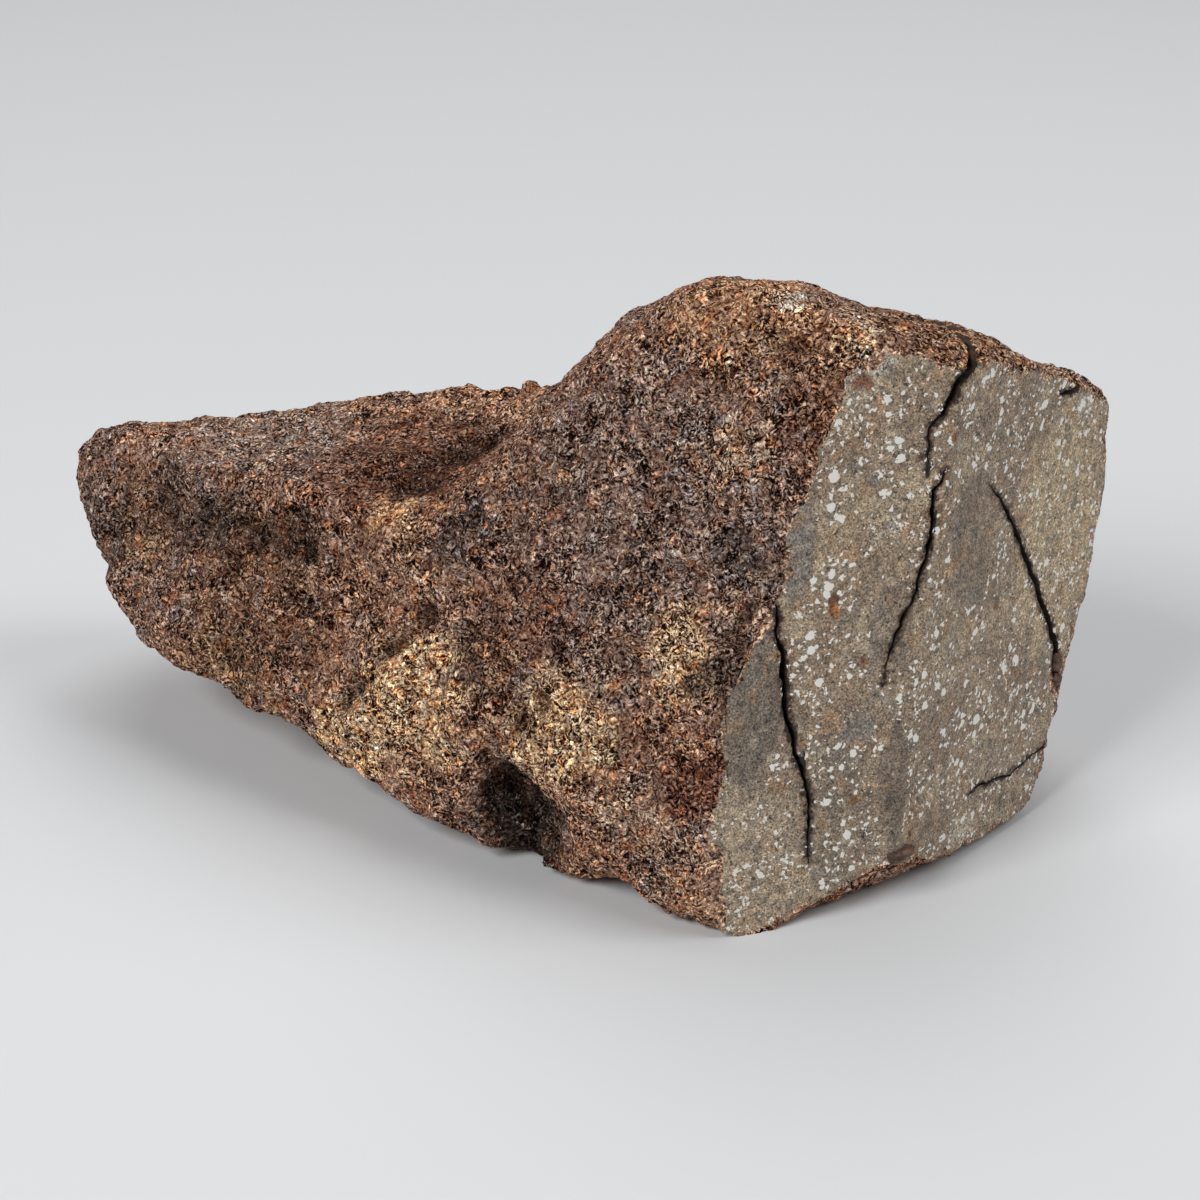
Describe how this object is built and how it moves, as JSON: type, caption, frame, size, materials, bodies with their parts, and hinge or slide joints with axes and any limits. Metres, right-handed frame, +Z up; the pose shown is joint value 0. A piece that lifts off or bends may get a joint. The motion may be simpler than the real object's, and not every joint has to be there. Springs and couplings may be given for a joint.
{
  "type": "meteorite end cut",
  "caption": "Sawn end piece of a stony meteorite: rough rusty crust with a low lobe and a high block, two flat sawn facets with cracks, resting on a flat spot.",
  "frame": {"origin": "bottom centre of the stone's bounding box, on the surface it rests on", "axes": "+X along the length, from the low lobe to the sawn end; +Y away from the viewer who sees the sawn facets; +Z up"},
  "size_m": [0.061, 0.0342, 0.0334],
  "materials": {
    "stone": "matt rough brown crust, smooth grey-brown sawn facets with bright metal flecks"
  },
  "bodies": {
    "root": {"meteorite": "stone"}
  },
  "joints": []
}
